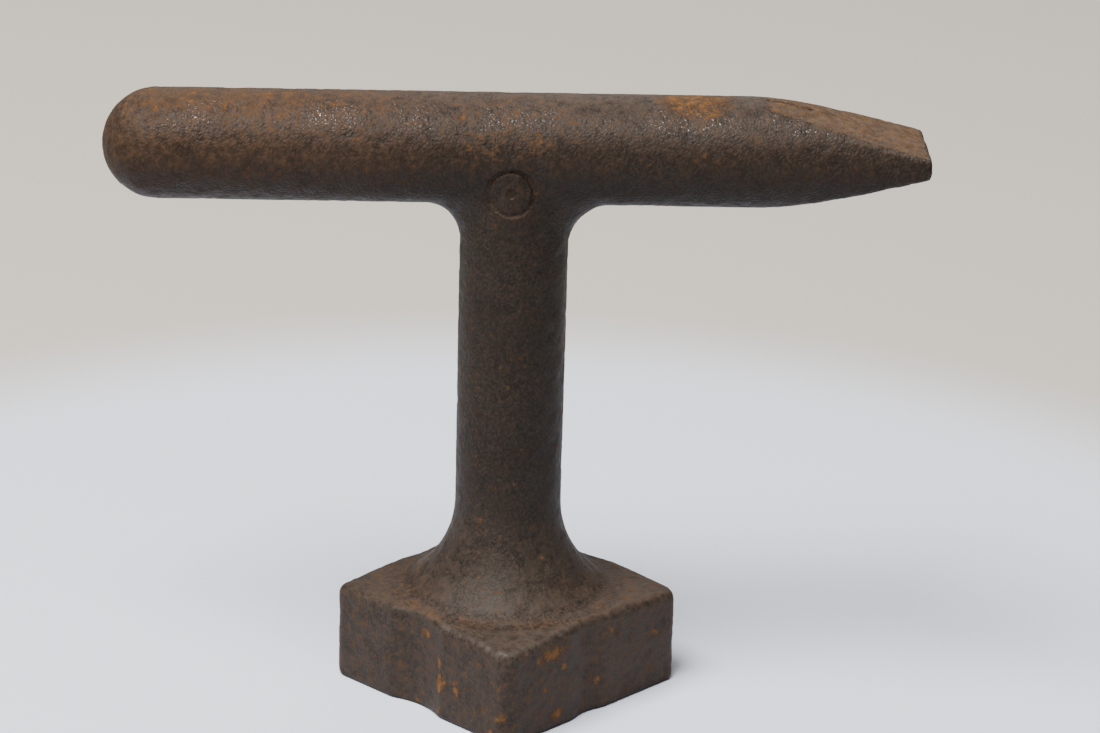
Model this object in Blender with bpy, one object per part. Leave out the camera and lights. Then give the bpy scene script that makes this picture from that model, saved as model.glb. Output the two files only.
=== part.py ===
"""T-shaped hand anvil: a round crossbar with a ball end and a chisel end, a round stem and a square base.

The anvil is one steel forging. It is modelled as the three lengths that a smith would forge-weld
together: the crossbar with the root of the stem, the stem, and the base with its flared neck.

Metres, +Z up. The origin is on the bench face, under the stem's axis. The crossbar lies along X with
its chisel end at +X. The base is turned 45 degrees, so its corners point along X and Y.
"""

from math import acos, atan2, cos, pi, radians, sin, sqrt

import bmesh
import bpy
from mathutils import Matrix

# Crossbar
BAR_RADIUS = 0.0127
BAR_AXIS_HEIGHT = 0.1315
BALL_REACH = 0.0940          # stem axis to the tip of the ball end
CHISEL_REACH = 0.0940        # stem axis to the end of the chisel
CHISEL_TAPER_LENGTH = 0.0388
CHISEL_THICKNESS = 0.0042    # across the flats, at the very end
SHOULDER_FILLET = 0.0098     # under the crossbar, where the stem's root swells into it

# Stem
STEM_SET_IN = 0.0002         # how much less the stem's radius is than the crossbar's, at the top
STEM_TAPER = 0.00025         # loss of radius from the stem's top to its foot

# Base
BASE_SIDE = 0.0578
BASE_CORNER_RADIUS = 0.0030
BASE_FOOT_BEVEL = 0.0010
BASE_CORNER_HEIGHT = 0.0222  # bench face to the top, at a corner
BASE_TOP_SLOPE = 0.10        # rise of the top per unit of distance towards the stem
NECK_CURVE_RADIUS = 0.0250   # hollow curve from the stem down onto the top, seen from the side
NECK_LAND = 0.0034           # from where that curve ends to the middle of a side
RECESS_WIDTH = 0.0140        # shallow upright recess in the middle of each side
RECESS_DEPTH = 0.0014

# Between two lengths, so that their faces don't touch
JOIN_GAP = 0.0003

# Overlap that lets two parts of one length join into one solid
JOIN_OVERLAP = 0.00003

# Fineness of round shapes
ROUND_SIDES = 72
BALL_RINGS = 16
FILLET_STEPS = 8
NECK_STEPS = 12
CORNER_STEPS = 5
RECESS_STEPS = 6
SHARP_ANGLE = radians(32)
MERGE_DISTANCE = 0.0000001


def clear_scene():
    for leftover in list(bpy.data.objects):
        bpy.data.objects.remove(leftover, do_unlink=True)


def finish_material(name, colour, roughness, metallic):
    material = bpy.data.materials.new(name)
    material.use_nodes = True
    shader = material.node_tree.nodes["Principled BSDF"]
    shader.inputs["Base Color"].default_value = (*colour, 1.0)
    shader.inputs["Roughness"].default_value = roughness
    shader.inputs["Metallic"].default_value = metallic
    return material


def new_object(name, verts, faces):
    """A mesh object whose faces all point outwards. A ring of no radius becomes one point."""
    mesh = bpy.data.meshes.new(name)
    mesh.from_pydata(verts, [], faces)
    shape = bmesh.new()
    shape.from_mesh(mesh)
    bmesh.ops.remove_doubles(shape, verts=shape.verts, dist=MERGE_DISTANCE)
    bmesh.ops.recalc_face_normals(shape, faces=shape.faces)
    shape.to_mesh(mesh)
    shape.free()
    made = bpy.data.objects.new(name, mesh)
    bpy.context.collection.objects.link(made)
    return made


def stacked_rings(name, rings, closed_loop=False):
    """Quads between equal rings of points, with the first and last ring filled or joined to each other."""
    count = len(rings[0])
    verts = [point for ring in rings for point in ring]
    faces = []
    spans = len(rings) if closed_loop else len(rings) - 1
    for span in range(spans):
        here = span * count
        there = (span + 1) % len(rings) * count
        for k in range(count):
            n = (k + 1) % count
            faces.append((here + k, here + n, there + n, there + k))
    if not closed_loop:
        faces.append(tuple(range(count)))
        faces.append(tuple(range(len(verts) - count, len(verts))))
    return new_object(name, verts, faces)


def turned(name, profile):
    """A round solid about Z from (radius, height) points, lowest first."""
    rings = []
    for radius, height in profile:
        turns = (2 * pi * k / ROUND_SIDES for k in range(ROUND_SIDES))
        rings.append([(radius * cos(turn), radius * sin(turn), height) for turn in turns])
    return stacked_rings(name, rings)


def use_tool(target, tool, operation):
    """Cuts, joins or trims the target with a tool solid, which is then thrown away."""
    tool.hide_render = True
    tool.display_type = "WIRE"
    cut = target.modifiers.new(tool.name, "BOOLEAN")
    cut.operation = operation
    cut.solver = "EXACT"
    cut.object = tool
    bpy.context.view_layer.update()
    shaped = target.evaluated_get(bpy.context.evaluated_depsgraph_get())
    result = bpy.data.meshes.new_from_object(shaped)
    target.modifiers.clear()
    target.data = result
    bpy.data.objects.remove(tool, do_unlink=True)


def finish_piece(piece, material, origin_height, parent):
    """Puts the origin on the stem's axis at the given height, shades the piece and gives it its steel."""
    piece.data.transform(Matrix.Translation((0, 0, -origin_height)))
    piece.location = (0, 0, origin_height)
    piece.data.materials.clear()
    piece.data.materials.append(material)
    piece.data.shade_smooth()
    piece.data.set_sharp_from_angle(angle=SHARP_ANGLE)
    piece.parent = parent


def stem_top_radius():
    return BAR_RADIUS - STEM_SET_IN


def stem_foot_radius():
    return stem_top_radius() - STEM_TAPER


def corner_distance():
    """Plan distance from the stem's axis to the outermost point of a rounded corner."""
    return (BASE_SIDE / 2 - BASE_CORNER_RADIUS) * sqrt(2) + BASE_CORNER_RADIUS


def top_height(distance):
    """Height of the base's sloping top at a plan distance from the stem's axis."""
    return BASE_CORNER_HEIGHT + BASE_TOP_SLOPE * (corner_distance() - distance)


def neck_foot_radius():
    """Plan radius where the neck's curve ends on the base's top."""
    return BASE_SIDE / 2 - NECK_LAND


def neck_height():
    """Height of the flat join between stem and base, where the neck's curve leaves the straight side."""
    run = neck_foot_radius() - stem_foot_radius()
    drop = sqrt(NECK_CURVE_RADIUS**2 - (NECK_CURVE_RADIUS - run) ** 2)
    return top_height(neck_foot_radius()) + drop


def root_height():
    """Height of the flat join between the crossbar's root and the stem."""
    return BAR_AXIS_HEIGHT - BAR_RADIUS - SHOULDER_FILLET


def stem_profile(low, high):
    """(radius, height) points of the tapered round between two heights. Above the root it runs straight."""
    taper = STEM_TAPER / (root_height() - neck_height())
    points = []
    for height in (low, high):
        climb = min(height, root_height()) - neck_height()
        points.append((stem_foot_radius() + taper * climb, height))
    return points


def ball_ended_bar():
    """Round bar along X, with half a ball at -X and a flat end at +X."""
    profile = []
    for ring in range(BALL_RINGS + 1):
        tilt = pi / 2 * ring / BALL_RINGS
        profile.append((BAR_RADIUS * sin(tilt), -BALL_REACH + BAR_RADIUS * (1 - cos(tilt))))
    profile.append((BAR_RADIUS, CHISEL_REACH))
    bar = turned("crossbar", profile)
    bar.data.transform(Matrix.Rotation(pi / 2, 4, "Y"))
    bar.data.transform(Matrix.Translation((0, 0, BAR_AXIS_HEIGHT)))
    return bar


def chisel_cutter(side):
    """Wedge of waste above (side 1) or below (side -1) the chisel's flat."""
    over = BAR_RADIUS / 2
    slope = (BAR_RADIUS - CHISEL_THICKNESS / 2) / CHISEL_TAPER_LENGTH
    start = CHISEL_REACH - CHISEL_TAPER_LENGTH
    low_near = BAR_RADIUS + slope * over
    low_far = CHISEL_THICKNESS / 2 - slope * over
    profile = [
        (start - over, low_near),
        (CHISEL_REACH + over, low_far),
        (CHISEL_REACH + over, 2 * BAR_RADIUS + low_near),
        (start - over, 2 * BAR_RADIUS + low_near),
    ]
    rings = []
    for y in (-2 * BAR_RADIUS, 2 * BAR_RADIUS):
        rings.append([(x, y, BAR_AXIS_HEIGHT + side * z) for x, z in profile])
    return stacked_rings("chisel_waste", rings)


def shoulder_web():
    """Ring of metal that fills the inner corner between stem and crossbar.

    Its hollow face is the path of a ball that rolls round the corner touching both, sunk a hair into
    each so that the three solids join. The rest of each slice is buried in the stem and the bar.
    """
    stem_reach = stem_top_radius() + SHOULDER_FILLET - JOIN_OVERLAP
    bar_reach = BAR_RADIUS + SHOULDER_FILLET - JOIN_OVERLAP
    slices = []
    for k in range(ROUND_SIDES):
        turn = 2 * pi * k / ROUND_SIDES
        centre = (stem_reach * cos(turn), stem_reach * sin(turn))
        drop = sqrt(bar_reach**2 - centre[1] ** 2)
        to_bar = (0.0, -centre[1] / bar_reach, drop / bar_reach)
        to_stem = (-cos(turn), -sin(turn), 0.0)
        opening = acos(to_bar[1] * to_stem[1])
        ring = []
        for step in range(FILLET_STEPS + 1):
            part = step / FILLET_STEPS
            near = sin((1 - part) * opening) / sin(opening)
            far = sin(part * opening) / sin(opening)
            aim = [near * a + far * b for a, b in zip(to_bar, to_stem)]
            ring.append(
                (
                    centre[0] + SHOULDER_FILLET * aim[0],
                    centre[1] + SHOULDER_FILLET * aim[1],
                    BAR_AXIS_HEIGHT - drop + SHOULDER_FILLET * aim[2],
                )
            )
        bar_touch = ring[0]
        stem_touch = ring[-1]
        buried = BAR_AXIS_HEIGHT + (bar_touch[2] - BAR_AXIS_HEIGHT) / 2
        ring.append((stem_touch[0] / 2, stem_touch[1] / 2, stem_touch[2]))
        ring.append((stem_touch[0] / 2, stem_touch[1] / 2, buried))
        ring.append((bar_touch[0], bar_touch[1] / 2, buried))
        slices.append(ring)
    return stacked_rings("shoulder_web", slices, closed_loop=True)


def make_crossbar():
    bar = ball_ended_bar()
    use_tool(bar, turned("stem_root", stem_profile(root_height(), BAR_AXIS_HEIGHT)), "UNION")
    use_tool(bar, shoulder_web(), "UNION")
    for side in (1, -1):
        use_tool(bar, chisel_cutter(side), "DIFFERENCE")
    return bar


def make_stem():
    return turned("stem", stem_profile(neck_height() + JOIN_GAP, root_height() - JOIN_GAP))


def base_outline(inset=0.0):
    """Plan outline of the base: rounded corners and a shallow recess in the middle of each side."""
    half = BASE_SIDE / 2 - inset
    corner_radius = BASE_CORNER_RADIUS - inset
    corner = half - corner_radius
    sweep_radius = (RECESS_WIDTH**2 / 4 + RECESS_DEPTH**2) / (2 * RECESS_DEPTH)
    reach = atan2(RECESS_WIDTH / 2, sweep_radius - RECESS_DEPTH)
    side = []
    for step in range(RECESS_STEPS + 1):
        swing = reach * (1 - 2 * step / RECESS_STEPS)
        outward = half - RECESS_DEPTH + sweep_radius * (1 - cos(swing))
        side.append((outward, -sweep_radius * sin(swing)))
    for step in range(CORNER_STEPS + 1):
        swing = pi / 2 * step / CORNER_STEPS
        side.append((corner + corner_radius * cos(swing), corner + corner_radius * sin(swing)))
    outline = []
    for quarter in range(4):
        turn = pi / 4 + quarter * pi / 2
        for x, y in side:
            outline.append((x * cos(turn) - y * sin(turn), x * sin(turn) + y * cos(turn)))
    return outline


def base_prism():
    """Tall block over the base's outline, with its foot edge bevelled."""
    rings = []
    for inset, height in (
        (BASE_FOOT_BEVEL, 0.0),
        (0.0, BASE_FOOT_BEVEL),
        (0.0, 2 * neck_height()),
    ):
        rings.append([(x, y, height) for x, y in base_outline(inset)])
    return stacked_rings("base", rings)


def neck_and_top():
    """Turned shape of the neck's hollow curve and the sloping top, wider than the base all round."""
    beyond = BASE_SIDE
    profile = [(beyond, -BASE_FOOT_BEVEL), (beyond, top_height(beyond))]
    middle = stem_foot_radius() + NECK_CURVE_RADIUS
    lowest = acos((middle - neck_foot_radius()) / NECK_CURVE_RADIUS)
    for step in range(NECK_STEPS, -1, -1):
        swing = lowest * step / NECK_STEPS
        radius = middle - NECK_CURVE_RADIUS * cos(swing)
        profile.append((radius, neck_height() - NECK_CURVE_RADIUS * sin(swing)))
    return turned("neck_and_top", profile)


def make_base():
    base = base_prism()
    use_tool(base, neck_and_top(), "INTERSECT")
    return base


def build():
    clear_scene()
    anvil = bpy.data.objects.new("anvil", None)
    bpy.context.collection.objects.link(anvil)
    rusted_scale = finish_material("rusted_scale", (0.105, 0.068, 0.052), 0.78, 0.35)
    dark_scale = finish_material("dark_scale", (0.070, 0.055, 0.045), 0.80, 0.35)
    worn_scale = finish_material("worn_scale", (0.090, 0.066, 0.052), 0.82, 0.35)
    finish_piece(make_crossbar(), rusted_scale, BAR_AXIS_HEIGHT, anvil)
    finish_piece(make_stem(), dark_scale, neck_height() + JOIN_GAP, anvil)
    finish_piece(make_base(), worn_scale, 0.0, anvil)


build()
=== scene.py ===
from math import cos, radians, sin, sqrt

import bmesh
import bpy
import numpy as np
from mathutils import Matrix, Vector, noise


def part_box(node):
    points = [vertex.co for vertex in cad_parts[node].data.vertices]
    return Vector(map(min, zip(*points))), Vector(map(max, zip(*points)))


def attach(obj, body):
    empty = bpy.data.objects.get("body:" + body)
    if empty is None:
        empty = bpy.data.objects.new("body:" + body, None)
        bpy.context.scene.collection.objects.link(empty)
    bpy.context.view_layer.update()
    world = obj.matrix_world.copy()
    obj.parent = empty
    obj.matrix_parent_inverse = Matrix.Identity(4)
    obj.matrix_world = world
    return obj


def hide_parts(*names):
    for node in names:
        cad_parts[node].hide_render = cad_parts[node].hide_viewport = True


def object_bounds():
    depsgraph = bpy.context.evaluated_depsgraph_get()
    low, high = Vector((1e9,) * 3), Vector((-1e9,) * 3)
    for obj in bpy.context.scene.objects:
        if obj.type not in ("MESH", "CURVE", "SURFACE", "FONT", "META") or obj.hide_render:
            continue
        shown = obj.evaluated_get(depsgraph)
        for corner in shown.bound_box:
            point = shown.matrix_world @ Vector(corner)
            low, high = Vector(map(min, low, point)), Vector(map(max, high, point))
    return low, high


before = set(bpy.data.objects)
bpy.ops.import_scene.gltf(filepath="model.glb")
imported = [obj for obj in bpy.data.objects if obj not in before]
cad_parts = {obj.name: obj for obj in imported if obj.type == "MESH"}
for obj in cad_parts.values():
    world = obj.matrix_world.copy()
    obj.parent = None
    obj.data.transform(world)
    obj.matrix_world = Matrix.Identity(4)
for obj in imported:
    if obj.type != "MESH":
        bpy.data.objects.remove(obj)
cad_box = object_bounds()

# CROSSBAR
# A one-inch round bar of plain steel, forged to a ball at one end and to a blunt chisel at the other.
# The ridges of the chisel's two flats are soft and its end is worn round.
bar_low, bar_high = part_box("crossbar")
bar_radius = bar_high.y
bar_axis = bar_high.z - bar_radius
ball_reach = -bar_low.x
chisel_reach = bar_high.x
chisel_taper = 0.0381
chisel_half = 0.00225         # half the thickness across the flats, at the end
lower_taper = 0.0355          # the lower flat is a little shorter and steeper
ridge_round = 0.0011
end_round = 0.0009
end_skew = 0.0002             # how far the end's far side stands back


def lengths(*parts):
    return np.sqrt(sum(part * part for part in parts))


def meet(one, other, rounding):
    """Metal that is inside both shapes, with the edge between them rounded."""
    over_one = np.maximum(one + rounding, 0)
    over_other = np.maximum(other + rounding, 0)
    return np.minimum(np.maximum(one, other), -rounding) + lengths(over_one, over_other)


def join(one, other, hollow):
    """Metal that is inside either shape, with a hollow curve in the corner between them."""
    under_one = np.maximum(hollow - one, 0)
    under_other = np.maximum(hollow - other, 0)
    return np.maximum(np.minimum(one, other), hollow) - lengths(under_one, under_other)


def crossbar_shape(x, y, z):
    up = z - bar_axis
    ball_middle = np.maximum(-(ball_reach - bar_radius) - x, 0)
    bar = lengths(ball_middle, y, up) - bar_radius
    along = x - chisel_reach
    for side, taper in ((up, chisel_taper), (-up, lower_taper)):
        fall = (bar_radius - chisel_half) / taper
        flat = (side - chisel_half + fall * along) / sqrt(1 + fall * fall)
        bar = meet(bar, flat, ridge_round)
    far_side = end_skew * np.clip(y / bar_radius, 0, 1)
    return meet(bar, along + far_side, end_round)


# STEM
# A round steel shank, forged in one with the crossbar, a hair thinner than it and slightly tapered.
# It swells into the crossbar with a hollow curve that is wider on the chisel's side.
stem_low, stem_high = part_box("stem")
neck_height = (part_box("base")[1].z + stem_low.z) / 2
root_height = (bar_low.z + stem_high.z) / 2
stem_set_in = 0.0002
stem_taper = 0.00012
stem_top_radius = bar_radius - stem_set_in
stem_foot_radius = stem_top_radius - stem_taper
stem_lean = 0.0002
ball_side_hollow = 0.0088
chisel_side_hollow = 0.0104
hollow_change = 0.004         # how fast the one hollow turns into the other across the stem
least_hollow = 1e-5
least_reach = 1e-6            # keeps the divisions below away from nought


def stem_shape(x, y, z):
    climb = np.clip((z - neck_height) / (root_height - neck_height), 0, 1)
    radius = stem_foot_radius + (stem_top_radius - stem_foot_radius) * climb
    return lengths(x + stem_lean * (1 - climb), y) - radius


def shoulder_hollow(x, y, z):
    """Radius of the curve under the crossbar. It fades where stem and bar run side by side."""
    stem_reach = np.maximum(lengths(x, y), least_reach)
    bar_reach = np.maximum(lengths(y, z - bar_axis), least_reach)
    alike = np.clip(y * y / (stem_reach * bar_reach), 0, 1)
    share = (1 - np.sqrt((1 + alike) / 2)) / (1 - sqrt(0.5))
    side = 0.5 + 0.5 * np.tanh(x / hollow_change)
    return share * (ball_side_hollow + (chisel_side_hollow - ball_side_hollow) * side) + least_hollow


# BASE
# A square steel block, forged in one with the stem, that stands on its flat underside. Each side has
# a shallow upright recess near its middle. The stem flares out onto the nearly flat top.
base_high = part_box("base")[1]
corner_round = 0.0036
base_half = (base_high.x - corner_round) / sqrt(2) + corner_round
wide_recess = (0.0155, 0.0018, -0.0012)      # width, depth, and how far off the middle of the side
narrow_recess = (0.0098, 0.0010, -0.0019)
recess_round = 0.0006
corner_height = 0.0226
top_slope = 0.10
neck_curve = 0.0255
crease_round = 0.0012
rim_round = 0.0017
foot_round = 0.0012


def base_shape(x, y, z):
    one = (x - y) / sqrt(2)
    other = (x + y) / sqrt(2)
    past_one = np.abs(one) - (base_half - corner_round)
    past_other = np.abs(other) - (base_half - corner_round)
    corner = lengths(np.maximum(past_one, 0), np.maximum(past_other, 0))
    block = corner + np.minimum(np.maximum(past_one, past_other), 0) - corner_round
    for across, beside, recess in ((one, other, narrow_recess), (other, one, wide_recess)):
        width, depth, off_middle = recess
        sweep = (width**2 / 4 + depth**2) / (2 * depth)
        hollow = sweep - lengths(np.abs(across) - (base_half - depth + sweep), beside - off_middle)
        block = meet(block, hollow, recess_round)
    away = lengths(x, y)
    top = (z - corner_height - top_slope * (base_high.x - away)) / sqrt(1 + top_slope**2)
    neck_floor = z - (neck_height - neck_curve)
    neck = join(stem_shape(x, y, z), neck_floor, neck_curve)
    top = join(top, neck, crease_round)
    block = meet(block, top, rim_round)
    return meet(block, -z, foot_round)


# FORGING
# The three lengths are one piece of steel, taken as pressed in a pair of dies. Its skin is taken off
# the joined shapes on a fine grid and then drawn tight onto them.
grid_pitch = 0.00055
layers_at_once = 16
skin_passes = 5


def anvil_shape(x, y, z):
    below = np.maximum(base_shape(x, y, z), z - bar_axis)
    return join(crossbar_shape(x, y, z), below, shoulder_hollow(x, y, z))


def grid_of_distances(low, steps):
    sides = [low[a] + grid_pitch * np.arange(steps[a]) for a in range(3)]
    distances = np.empty(steps, np.float32)
    x = sides[0][:, None, None]
    y = sides[1][None, :, None]
    for layer in range(0, steps[2], layers_at_once):
        slab = slice(layer, layer + layers_at_once)
        distances[:, :, slab] = anvil_shape(x, y, sides[2][None, None, slab])
    return distances


def net_over(distances, low):
    """Points and four-cornered faces where the distances change sign, one point in each grid cell."""
    inside = distances < 0
    filled = sum(
        inside[i : i + inside.shape[0] - 1, j : j + inside.shape[1] - 1, k : k + inside.shape[2] - 1]
        .astype(np.int8)
        for i in (0, 1)
        for j in (0, 1)
        for k in (0, 1)
    )
    cells = np.argwhere((filled > 0) & (filled < 8))
    corners = np.array([(i, j, k) for i in (0, 1) for j in (0, 1) for k in (0, 1)])
    values = distances[tuple((cells[:, None, :] + corners).transpose(2, 0, 1))]
    total = np.zeros((len(cells), 3))
    crossings = np.zeros((len(cells), 1))
    for one in range(8):
        for other in range(one + 1, 8):
            if np.abs(corners[one] - corners[other]).sum() != 1:
                continue
            crossed = ((values[:, one] < 0) != (values[:, other] < 0))[:, None]
            change = values[:, one] - values[:, other]
            share = (values[:, one] / np.where(change == 0, 1, change))[:, None]
            total += crossed * (corners[one] + share * (corners[other] - corners[one]))
            crossings += crossed
    points = np.array(low) + grid_pitch * (cells + total / crossings)
    number = np.full(np.array(distances.shape) - 1, -1, np.int32)
    number[tuple(cells.T)] = np.arange(len(cells))
    faces = []
    for axis in range(3):
        first, second = (axis + 1) % 3, (axis + 2) % 3
        here = np.moveaxis(inside, axis, 0)
        changed = here[1:] != here[:-1]
        at = np.argwhere(changed)
        leaves = here[:-1][tuple(at.T)]
        order = [axis] + [a for a in range(3) if a != axis]
        where = np.empty_like(at)
        where[:, order] = at
        step_first = np.eye(3, dtype=int)[first]
        step_second = np.eye(3, dtype=int)[second]
        ring = [where - step_first - step_second, where - step_second, where, where - step_first]
        quads = np.stack([number[tuple(c.T)] for c in ring], 1)
        faces.append(np.where(leaves[:, None], quads, quads[:, ::-1]))
    return points, np.concatenate(faces)


def steepest(points, reach=0.00004):
    """Direction away from the metal at each point."""
    away = np.empty_like(points)
    for axis in range(3):
        ahead = points.copy()
        behind = points.copy()
        ahead[:, axis] += reach
        behind[:, axis] -= reach
        away[:, axis] = anvil_shape(*ahead.T) - anvil_shape(*behind.T)
    return away / np.maximum(lengths(*away.T), 1e-12)[:, None]


def drawn_onto_shape(points, outward):
    return points - anvil_shape(*points.T)[:, None] * outward


def neighbours_mean(values, edges):
    count = np.bincount(edges.ravel(), minlength=len(values))
    total = np.empty_like(values)
    for axis in range(values.shape[1]):
        total[:, axis] = np.bincount(edges[:, 0], values[edges[:, 1], axis], len(values))
        total[:, axis] += np.bincount(edges[:, 1], values[edges[:, 0], axis], len(values))
    return total / np.maximum(count, 1)[:, None]


margin = 3 * grid_pitch
grid_low = [value - margin for value in cad_box[0]]
grid_steps = [int((cad_box[1][a] + margin - grid_low[a]) / grid_pitch) + 2 for a in range(3)]
points, faces = net_over(grid_of_distances(grid_low, grid_steps), grid_low)
edges = np.sort(np.concatenate([faces[:, [k, (k + 1) % 4]] for k in range(4)]), axis=1)
edges = np.unique(edges, axis=0)
for _ in range(skin_passes):
    points = points + 0.5 * (neighbours_mean(points, edges) - points)
    outward = steepest(points)
    points = drawn_onto_shape(drawn_onto_shape(points, outward), outward)

skin = bpy.data.meshes.new("skin")
skin.from_pydata(points.tolist(), [], faces.tolist())
skin.update()

# SURFACE
# The forged skin as years of use and damp have left it: shallow unevenness from the dies, scale pits,
# knocked edges, a lap in the chisel's upper flat, and one plain ring stamped where the stem begins.
stamp_middle = (-0.0010, 0.1245)
stamp_radius = 0.0052
stamp_line = 0.00085
stamp_depth = 0.00060
dot_radius = 0.0014
dot_floor = 0.0008            # the dot is full depth within this radius
lap_start, lap_end = 0.056, 0.081
lap_bow = 0.0025
lap_depth = 0.00050
lap_reach = 0.00055
lap_floor = 0.00008
fine_reach = 0.0016           # how far around the ring and the lap the skin is cut finer
other_side = 1.0              # puts the side without a mark a metre away from it


def near_stamp(x, y, z):
    """Distance from the middle of the ring, which is on the front only."""
    return lengths(x - stamp_middle[0], z - stamp_middle[1]) + np.where(y > 0, other_side, 0)


def near_lap(x, y):
    """Distance to the bowed line of the lap, and how far along it the nearest point is, from 0 to 1."""
    along = np.clip((x - lap_start) / (lap_end - lap_start), 0, 1)
    past_end = x - lap_start - along * (lap_end - lap_start)
    return lengths(past_end, y - 4 * lap_bow * along * (1 - along)), along


def fade(value, low, high):
    share = np.clip((value - low) / (high - low), 0, 1)
    return share * share * (3 - 2 * share)


def rough_by(points, size, octaves=1, shift=0.0):
    """Smooth random values from about -1 to 1, in lumps of the given size."""
    move = Vector((shift, 2 * shift, 3 * shift))
    places = [Vector(p) / size + move for p in points.tolist()]
    if octaves == 1:
        return np.array([noise.noise(place) for place in places])
    weaker, finer = 0.9, 2.0
    return np.array([noise.fractal(place, weaker, finer, octaves) for place in places])


def pits_by(points, spacing, share, shift=0.0):
    """0 to 1 at scattered round pits: the given share of the cells of this spacing holds one."""
    depth = np.zeros(len(points))
    scramble = 7.3
    least_size, more_size = 0.22, 0.28
    for k, point in enumerate(points.tolist()):
        distances, middles = noise.voronoi(Vector(point) / spacing + Vector((shift, shift, shift)))
        chance = noise.cell(middles[0] * scramble)
        if chance < share:
            size = least_size + more_size * (chance / share)
            depth[k] = max(0.0, 1 - (distances[0] / size) ** 2)
    return depth


shape = bmesh.new()
shape.from_mesh(skin)
shape.verts.ensure_lookup_table()
x, y, z = points.T
lap_away = near_lap(x, y)[0] + np.where(z < bar_axis, other_side, 0)
fine = (near_stamp(x, y, z) < stamp_radius + fine_reach) | (lap_away < fine_reach)
fine_edges = [e for e in shape.edges if fine[e.verts[0].index] and fine[e.verts[1].index]]
bmesh.ops.subdivide_edges(shape, edges=fine_edges, cuts=3, use_grid_fill=True)
shape.to_mesh(skin)
shape.free()

points = np.array([v.co for v in skin.vertices])
for _ in range(2):
    outward = steepest(points)
    points = drawn_onto_shape(points, outward)
x, y, z = points.T

bend_reach = 0.0007
slight_edge, full_edge = 170, 620         # how sharply the skin bends, per metre
slight_corner, full_corner = 25, 300
bend = -6 * anvil_shape(x, y, z)
for axis in range(3):
    for side in (-bend_reach, bend_reach):
        moved = points.copy()
        moved[:, axis] += side
        bend = bend + anvil_shape(*moved.T)
bend = bend / bend_reach**2
edge = fade(bend, slight_edge, full_edge)
corner = fade(-bend, slight_corner, full_corner)

lumps = rough_by(points, size=0.0120, octaves=1, shift=3.1)
dimples = rough_by(points, size=0.0042, octaves=2, shift=7.7)
grit = rough_by(points, size=0.0017, octaves=1, shift=1.3)
pits = pits_by(points, spacing=0.0034, share=0.16)
small_pits = pits_by(points, spacing=0.0019, share=0.20, shift=5.5)
knocks = fade(rough_by(points, size=0.0031, octaves=3, shift=12.9), 0.10, 0.60)
stamp_away = near_stamp(x, y, z)
stamp = fade(-np.abs(stamp_away - stamp_radius), -stamp_line, -0.2 * stamp_line)
stamp = np.maximum(stamp, fade(-stamp_away, -dot_radius, -dot_floor))
stamp = stamp * (0.55 + 0.45 * fade(lumps + 0.6 * dimples, -0.6, 0.2))
lap_away, lap_along = near_lap(x, y + 0.0004 * grit + 0.0006 * dimples)
lap_away = lap_away + np.where(z < bar_axis, other_side, 0)
lap = fade(-lap_away, -lap_reach, -lap_floor) * fade(lap_along, 0, 0.1)
lap = lap * (1 - 0.8 * fade(lap_along, 0.55, 0.9))
under_bar = fade(-lengths(y, (z - bar_axis + bar_radius) * 2), -0.0035, -0.0008)
flash = under_bar * fade(x, 0.030, 0.040) * (1 - fade(x, 0.060, 0.066))

# Scale stands proud, pits and knocks go in. At the two ends, on the very top and under the foot the
# relief is held back, so the anvil keeps its length, its height and its flat stand.
scale_proud = 0.00002
lump_height, dimple_height, grit_height = 0.00003, 0.000012, 0.000016
pit_depth, small_pit_depth = 0.00012, 0.00007
knock_depth, edge_wear = 0.00010, 0.00003
flash_height = 0.00016
top_limit = 0.00001
end_share, top_share = 0.985, 0.97        # beyond these shares of its reach and radius the bar is held
foot_rise = (0.0004, 0.0016)
relief = scale_proud + lump_height * lumps + dimple_height * dimples + grit_height * grit
relief = relief - pit_depth * pits - small_pit_depth * small_pits
relief = relief - knock_depth * edge * knocks - edge_wear * edge
relief = relief + flash_height * flash * rough_by(points, size=0.0026, octaves=2, shift=21.0)
standing = fade(z, *foot_rise)
bar_end = np.array([chisel_reach, ball_reach])[(x < 0).astype(int)]
relief = np.where(np.abs(x) / bar_end > end_share, np.minimum(relief, 0), relief)
relief = np.where(z > bar_axis + top_share * bar_radius, np.minimum(relief, top_limit), relief)
relief = relief * standing - stamp_depth * stamp - lap_depth * lap
lowest, highest = (np.array(list(end)) for end in cad_box)
points = np.clip(points + relief[:, None] * outward, lowest, highest)

# Where each colour lies: film is the thin brown rust, bloom the bright orange rust, the wear paint is bare
# metal on the edges plus a painted highlight on the base's front rim, the dust paint is pale dust plus
# painted light on the upward faces and the front of the base's top, the crest band holds glints of bare
# steel that are partly a painted highlight, hollow is dark in the pits, and shade is painted shade on the
# faces turned down.
bar_root = (0.1150, 0.1200)               # heights between which the stem turns into the crossbar
base_rim = (0.0215, 0.0235)               # heights between which the base's sides turn into its top
patch_middle, patch_size = (0.0405, -0.001), (0.0085, 0.008)
speckle_middle, speckle_size = (-0.001, 0.139), (0.012, 0.008)
crease_radius, crease_reach = 0.0262, 0.0026
up = outward[:, 2]
to_ball = fade(-x, -0.004, 0.060)
on_bar = fade(z, *bar_root)
top_rust = fade(up, 0.45, 0.95) * on_bar
patch_away = lengths((x - patch_middle[0]) / patch_size[0], (y - patch_middle[1]) / patch_size[1])
patch = fade(-patch_away, -1.3, -0.55) * top_rust
speckle_away = lengths((x - speckle_middle[0]) / speckle_size[0], (z - speckle_middle[1]) / speckle_size[1])
middle_speckle = fade(-speckle_away, -1.5, -0.4) * on_bar
chisel_flat = fade(x, 0.0545, 0.0600) * fade(up, 0.90, 0.96)
base_top = fade(z, *base_rim) * (1 - fade(z, 0.034, 0.045)) * fade(up, 0.5, 0.9)
crease_away = np.abs(lengths(x, y) - crease_radius + 0.0012 * dimples)
crease = fade(-crease_away, -crease_reach, -0.0002) * base_top
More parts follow.
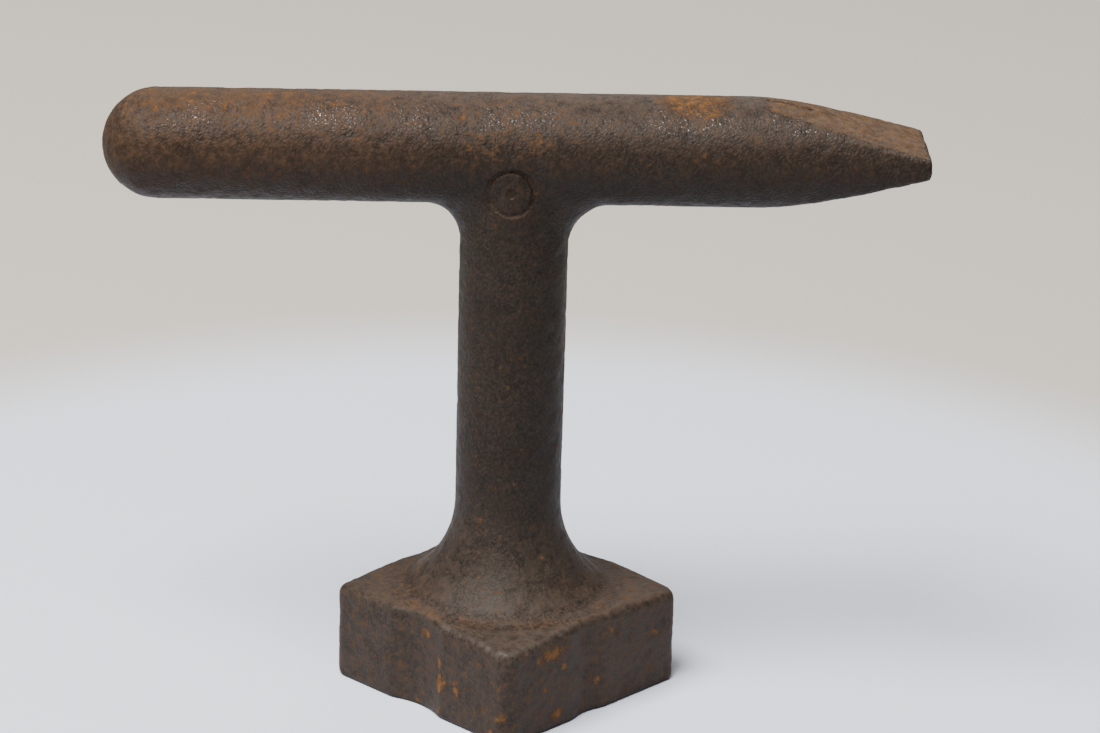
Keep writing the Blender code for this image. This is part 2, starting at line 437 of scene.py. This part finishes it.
crease = crease * (0.25 + 0.75 * fade(-y, 0, 0.020)) * fade(dimples + lumps, -0.7, 0.4)
base_ends = base_top * fade(np.abs(x), 0.012, 0.026)
recess_edge = fade(-np.abs((x - y) / sqrt(2) - 0.0066), -0.0009, -0.0003)
recess_edge = recess_edge * fade(-(x + y), 0.03, 0.035)
rusty_line = recess_edge * (1 - fade(z, 0.019, 0.022)) * fade(dimples, -0.5, 0.1)
on_side = (1 - fade(z, *base_rim)) * fade(z, -0.001, 0.001) * (1 - np.abs(up))
film = 0.14 + 0.34 * to_ball * on_bar + 0.90 * chisel_flat
film = film + 0.26 * base_ends + 0.52 * crease + 0.12 * base_top
film = film + 0.12 * top_rust * (1 + to_ball) + 0.60 * patch
film = film + (0.18 + 0.12 * fade(x, 0, 0.010)) * on_side + 0.10 * on_bar + 0.35 * stamp
bloom = 0.02 + 0.20 * to_ball * top_rust + 0.07 * to_ball * on_bar + 0.50 * patch + 0.20 * middle_speckle
bloom = bloom + 0.16 * chisel_flat + 0.12 * crease + 0.10 * on_side + 0.50 * rusty_line + 0.08 * base_ends
# The base's front rim corner gets more pale bare metal. This is partly wear and partly a painted highlight
# along the rim that faces the view.
front_rim_wear_and_highlight = fade(-lengths(x, (y + 0.0370) / 1.4, z - 0.0225) / 0.0065, -1.3, -0.3)
low_neck = fade(z, 0.028, 0.033) * (1 - fade(z, 0.045, 0.060))
spots = pits_by(points, spacing=0.0056, share=0.42, shift=4.1) * (on_side + 0.6 * low_neck)
rim_away = lengths((x - 0.0095) / 0.0050, (y + 0.0280) / 0.010, (z - 0.0195) / 0.0026)
under_rim = fade(-rim_away, -1.3, -0.3)
bloom = bloom + 0.68 * spots + 0.50 * under_rim
# Pale dust, thickest low down, together with painted light: the bar's upward faces and the front of the
# base's top are made paler for the light falling on them.
dust_and_top_light = 0.32 * (1 - fade(z, 0.030, 0.060)) + 0.38 * fade(up, 0.85, 1.0) * on_bar
dust_and_top_light = dust_and_top_light + 0.48 * fade(up, 0.15, 0.8) * on_bar * (1 - 0.85 * chisel_flat)
dust_and_top_light = dust_and_top_light + 0.60 * crease + (0.08 + 0.34 * fade(-y, 0.005, 0.030)) * base_top
# The crest band runs along the bar's upper side, where the overhead lamp's reflection falls. The glints
# laid there are bare steel, partly real polish on the grain's peaks and partly a painted highlight.
glint_band = on_bar * fade(up, 0.40, 0.70) * (1 - fade(up, 0.90, 0.97)) * fade(lumps, -0.40, 0.30)
hollow = np.clip(corner + 0.8 * pits + 0.5 * small_pits + 0.9 * stamp + lap, 0, 1)
paint = {
    "film": np.clip(film, 0, 1),
    "bloom": np.clip(bloom, 0, 1),
    "wear_and_rim_highlight": edge * (0.15 + 0.35 * knocks + 0.5 * front_rim_wear_and_highlight) * (1 - 0.8 * on_side),
    "grainy": 0.42 + 0.58 * fade(z, 0.095, 0.125),
    "dust_and_top_light": dust_and_top_light,
    "glint_band": glint_band,
    "hollow": hollow,
    "shade": fade(-up, -0.35, 0.9),
}
skin.vertices.foreach_set("co", points.ravel())
for name, values in paint.items():
    layer = skin.attributes.new(name, "FLOAT", "POINT")
    layer.data.foreach_set("value", values.astype(np.float32))
skin.update()

forged = bpy.data.materials.new("forged_steel")
forged.use_nodes = True
nodes = forged.node_tree.nodes
links = forged.node_tree.links
shader = nodes["Principled BSDF"]


def wire(value, socket):
    if isinstance(value, bpy.types.NodeSocket):
        links.new(value, socket)
    else:
        socket.default_value = value


def painted(name):
    node = nodes.new("ShaderNodeAttribute")
    node.attribute_name = name
    return node.outputs["Fac"]


def sums(kind, *values):
    node = nodes.new("ShaderNodeMath")
    node.operation = kind
    for value, socket in zip(values, node.inputs):
        wire(value, socket)
    return node.outputs[0]


def between(value, low, high):
    node = nodes.new("ShaderNodeMapRange")
    node.interpolation_type = "SMOOTHSTEP"
    wire(value, node.inputs["Value"])
    node.inputs["From Min"].default_value = low
    node.inputs["From Max"].default_value = high
    return node.outputs["Result"]


def grain(size, detail=3.0, roughness=0.55, stretch=(1, 1, 1)):
    """Random values from 0 to 1 in grains of this size."""
    mapping = nodes.new("ShaderNodeMapping")
    mapping.inputs["Scale"].default_value = stretch
    links.new(place, mapping.inputs["Vector"])
    node = nodes.new("ShaderNodeTexNoise")
    node.inputs["Scale"].default_value = 1 / size
    node.inputs["Detail"].default_value = detail
    node.inputs["Roughness"].default_value = roughness
    links.new(mapping.outputs[0], node.inputs["Vector"])
    return node.outputs["Fac"]


def cells(size, spread=1.0):
    node = nodes.new("ShaderNodeTexVoronoi")
    node.inputs["Scale"].default_value = 1 / size
    node.inputs["Randomness"].default_value = spread
    links.new(place, node.inputs["Vector"])
    return node.outputs["Distance"]


def blend(share, one, other):
    node = nodes.new("ShaderNodeMix")
    node.data_type = "RGBA"
    wire(share, node.inputs[0])
    wire(one, node.inputs[6])
    wire(other, node.inputs[7])
    return node.outputs[2]


# The grain's own directions are turned and drifted a little, so no rows or rings show in it.
drift_size = 0.0019
drift_reach = 0.0010
straight_place = nodes.new("ShaderNodeTexCoord").outputs["Object"]
drift = nodes.new("ShaderNodeTexNoise")
drift.inputs["Scale"].default_value = 1 / drift_size
links.new(straight_place, drift.inputs["Vector"])
turn = nodes.new("ShaderNodeMapping")
turn.inputs["Rotation"].default_value = (0.5, 0.9, 0.3)
links.new(straight_place, turn.inputs["Vector"])
drifted = nodes.new("ShaderNodeVectorMath")
drifted.operation = "MULTIPLY_ADD"
links.new(drift.outputs["Color"], drifted.inputs[0])
drifted.inputs[1].default_value = (drift_reach, drift_reach, drift_reach)
links.new(turn.outputs[0], drifted.inputs[2])
place = drifted.outputs[0]
film_paint, bloom_paint, dust_and_top_light_paint = painted("film"), painted("bloom"), painted("dust_and_top_light")
wear_and_rim_highlight_paint, hollow_paint, shade_paint = painted("wear_and_rim_highlight"), painted("hollow"), painted("shade")
scale_dark, scale_light = (0.0198, 0.0158, 0.0126, 1), (0.0285, 0.0236, 0.0184, 1)
sand_dark, gap_dark = (0.0089, 0.0067, 0.0050, 1), (0.006, 0.0045, 0.0035, 1)
# The second colour on this line is painted shade for the faces turned down.
pit_dark, painted_shade_dark = (0.008, 0.006, 0.005, 1), (0.0078, 0.0058, 0.0042, 1)
dust_and_top_light_colour = (0.080, 0.063, 0.051, 1)
film_dark, film_light = (0.046, 0.024, 0.0125, 1), (0.082, 0.044, 0.023, 1)
streak_dark, streak_light = (0.064, 0.036, 0.019, 1), (0.122, 0.066, 0.030, 1)
rust_dark, rust_bright = (0.090, 0.044, 0.019, 1), (0.180, 0.083, 0.026, 1)
rubbed_steel_and_rim_highlight, bare_steel_and_glint = (0.095, 0.083, 0.074, 1), (0.19, 0.18, 0.175, 1)
broad = grain(size=0.016, detail=4.0, roughness=0.6)
patchy = grain(size=0.0030, detail=5.0, roughness=0.62)
speckle = grain(size=0.0015, detail=4.0, roughness=0.6)
sand = grain(size=0.00060, detail=2.0, roughness=0.5, stretch=(0.75, 1, 1.15))
streaks = grain(size=0.0022, detail=4.0, roughness=0.65, stretch=(0.35, 1, 1))
grains = cells(0.00072)
dust = cells(0.00040)
scale_colour = blend(between(broad, 0.35, 0.65), scale_dark, scale_light)
scale_colour = blend(between(sand, 0.30, 0.66), sand_dark, scale_colour)
gap_share = sums("MULTIPLY", between(grains, 0.42, 0.75), 0.6)
scale_colour = blend(gap_share, scale_colour, gap_dark)
# Pale dust and painted light on the upward faces are mixed into the scale here.
dust_and_top_light_share = sums("MULTIPLY", dust_and_top_light_paint, between(patchy, 0.20, 0.60))
scale_colour = blend(dust_and_top_light_share, scale_colour, dust_and_top_light_colour)
film_share = sums("MULTIPLY", film_paint, between(patchy, -0.10, 0.55))
film_colour = blend(between(speckle, 0.35, 0.65), film_dark, film_light)
warm_film = blend(between(streaks, 0.36, 0.62), streak_dark, streak_light)
film_colour = blend(between(film_paint, 0.70, 1.05), film_colour, warm_film)
colour = blend(film_share, scale_colour, film_colour)
bloom_share = sums("ADD", sums("MULTIPLY", patchy, 0.35), sums("MULTIPLY", speckle, 0.65))
bloom_share = sums("ADD", bloom_share, sums("MULTIPLY", bloom_paint, 0.42))
bloom_colour = blend(between(bloom_share, 0.66, 0.86), rust_dark, rust_bright)
bloom_share = between(bloom_share, 0.56, 0.80)
colour = blend(sums("MULTIPLY", bloom_share, 0.9), colour, bloom_colour)
dark_share = sums("MULTIPLY", hollow_paint, between(sand, 0.70, 0.30))
colour = blend(sums("MULTIPLY", dark_share, 0.6), colour, pit_dark)
# Painted shade: faces turned downwards, under the bar and the base, are darkened towards the shade colour.
colour = blend(sums("MULTIPLY", shade_paint, 0.75), colour, painted_shade_dark)
# Glints: pale specks of bare steel in the crest band, partly polish and partly a painted highlight.
glints = sums("MULTIPLY", between(grain(size=0.00036, detail=1.0), 0.62, 0.70), painted("glint_band"))
glints = sums("MULTIPLY", glints, sums("SUBTRACT", 1.0, bloom_share))
# Rubbed bare metal on the edges. At the base's front rim corner it is also a painted highlight.
wear_and_rim_highlight_share = sums("MULTIPLY", wear_and_rim_highlight_paint, between(speckle, 0.42, 0.62))
colour = blend(sums("MULTIPLY", wear_and_rim_highlight_share, 0.8), colour, rubbed_steel_and_rim_highlight)
colour = blend(sums("MULTIPLY", glints, 0.7), colour, bare_steel_and_glint)
links.new(colour, shader.inputs["Base Color"])

gloss = sums("ADD", sums("MULTIPLY", between(patchy, 0.30, 0.70), 0.12), 0.52)
gloss = sums("SUBTRACT", gloss, sums("MULTIPLY", glints, 0.26))
gloss = sums("ADD", gloss, sums("MULTIPLY", bloom_share, 0.28))
gloss = sums("SUBTRACT", gloss, sums("MULTIPLY", wear_and_rim_highlight_share, 0.10))
links.new(gloss, shader.inputs["Roughness"])
bare = sums("MAXIMUM", sums("MULTIPLY", wear_and_rim_highlight_share, 0.5), sums("MULTIPLY", glints, 0.7))
links.new(bare, shader.inputs["Metallic"])
shader.inputs["Specular IOR Level"].default_value = 0.17

height = sums("SUBTRACT", sums("MULTIPLY", sand, 0.5), sums("MULTIPLY", grains, 0.9))
height = sums("SUBTRACT", height, sums("MULTIPLY", dust, 0.35))
height = sums("ADD", height, sums("MULTIPLY", speckle, 0.35))
bump = nodes.new("ShaderNodeBump")
bump.inputs["Strength"].default_value = 0.75
bump.inputs["Distance"].default_value = 0.00022
links.new(sums("MULTIPLY", height, painted("grainy")), bump.inputs["Height"])
links.new(bump.outputs[0], shader.inputs["Normal"])


def cut_length(name, low, high):
    """One closed length of the forging, between two heights."""
    shape = bmesh.new()
    shape.from_mesh(skin)
    for height, side in ((low, -1), (high, 1)):
        if height is None:
            continue
        whole = shape.verts[:] + shape.edges[:] + shape.faces[:]
        cut = bmesh.ops.bisect_plane(
            shape, geom=whole, plane_co=(0, 0, height), plane_no=(0, 0, side), clear_outer=True
        )
        rim = [part for part in cut["geom_cut"] if isinstance(part, bmesh.types.BMEdge)]
        bmesh.ops.holes_fill(shape, edges=rim, sides=0)
    mesh = bpy.data.meshes.new(name)
    shape.to_mesh(mesh)
    shape.free()
    mesh.shade_smooth()
    mesh.set_sharp_from_angle(angle=radians(60))
    mesh.materials.append(forged)
    piece = bpy.data.objects.new(name, mesh)
    bpy.context.collection.objects.link(piece)
    return piece


crossbar = cut_length("forged_crossbar", root_height, None)
stem = cut_length("forged_stem", neck_height, root_height)
base = cut_length("forged_base", None, neck_height)
for piece, node, slot in (
    (crossbar, "crossbar", "rusted_scale"),
    (stem, "stem", "dark_scale"),
    (base, "base", "worn_scale"),
):
    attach(piece, "root")
    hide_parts(node)


# STUDIO
# A plain pale floor, cloth-white around the anvil and turning to a warm grey farther out, under one
# large soft lamp overhead on the left and a weak one behind.
floor_side = 4.0
cloth_reach = 0.215
floor_mesh = bpy.data.meshes.new("floor")
corners = [(-1, -1), (1, -1), (1, 1), (-1, 1)]
floor_mesh.from_pydata([(a * floor_side, b * floor_side, 0) for a, b in corners], [], [(0, 1, 2, 3)])
floor = bpy.data.objects.new("floor", floor_mesh)
bpy.context.collection.objects.link(floor)
pale = bpy.data.materials.new("pale_floor")
pale.use_nodes = True
pale_nodes = pale.node_tree.nodes
pale_links = pale.node_tree.links
pale_place = pale_nodes.new("ShaderNodeTexCoord")
pale_away = pale_nodes.new("ShaderNodeVectorMath")
pale_away.operation = "LENGTH"
pale_turn = pale_nodes.new("ShaderNodeMapRange")
pale_turn.interpolation_type = "SMOOTHSTEP"
pale_turn.inputs["From Min"].default_value = cloth_reach - 0.02
pale_turn.inputs["From Max"].default_value = cloth_reach + 0.05
pale_blend = pale_nodes.new("ShaderNodeMix")
pale_blend.data_type = "RGBA"
pale_blend.inputs[6].default_value = (0.83, 0.87, 0.98, 1)
pale_blend.inputs[7].default_value = (0.62, 0.57, 0.50, 1)
pale_links.new(pale_place.outputs["Object"], pale_away.inputs[0])
pale_links.new(pale_away.outputs["Value"], pale_turn.inputs["Value"])
pale_links.new(pale_turn.outputs["Result"], pale_blend.inputs[0])
pale_links.new(pale_blend.outputs[2], pale_nodes["Principled BSDF"].inputs["Base Color"])
pale_nodes["Principled BSDF"].inputs["Roughness"].default_value = 0.95
floor_mesh.materials.append(pale)


def soft_lamp(name, place, aim, size, watts, colour):
    lamp = bpy.data.lights.new(name, "AREA")
    lamp.shape = "RECTANGLE"
    lamp.size = size[0]
    lamp.size_y = size[1]
    lamp.energy = watts
    lamp.color = colour
    stand = bpy.data.objects.new(name, lamp)
    stand.location = place
    stand.rotation_euler = (Vector(aim) - Vector(place)).to_track_quat("-Z", "Y").to_euler()
    bpy.context.collection.objects.link(stand)


soft_lamp("overhead", (-0.51, -0.54, 1.62), (0, 0, 0.08), (1.05, 0.75), 70, (1.0, 0.985, 0.96))
soft_lamp("behind", (0.30, 2.30, 1.25), (0, 0, 0.10), (2.0, 1.2), 15, (1.0, 0.97, 0.93))
world = bpy.data.worlds.new("room")
world.use_nodes = True
world.node_tree.nodes["Background"].inputs["Color"].default_value = (0.80, 0.80, 0.82, 1)
world.node_tree.nodes["Background"].inputs["Strength"].default_value = 0.22
bpy.context.scene.world = world

view_aim = Vector((0.00896, 0.0, 0.07852))
view_distance = 1.0
view_turn = radians(-1.34)
view_tilt = radians(20.5)
view_roll = radians(1.35)
view_lens = 141.05
back = Vector((sin(view_turn) * cos(view_tilt), -cos(view_turn) * cos(view_tilt), sin(view_tilt)))
level = Vector((cos(view_turn), sin(view_turn), 0))
upright = back.cross(level)
right = level * cos(view_roll) + upright * sin(view_roll)
upward = upright * cos(view_roll) - level * sin(view_roll)
lens = bpy.data.cameras.new("view")
lens.sensor_width = 36.0
lens.lens = view_lens
lens.clip_start = 0.01
camera = bpy.data.objects.new("view", lens)
turned = Matrix((right, upward, back)).transposed().to_4x4()
camera.matrix_world = Matrix.Translation(view_aim + back * view_distance) @ turned
bpy.context.collection.objects.link(camera)
bpy.context.scene.camera = camera
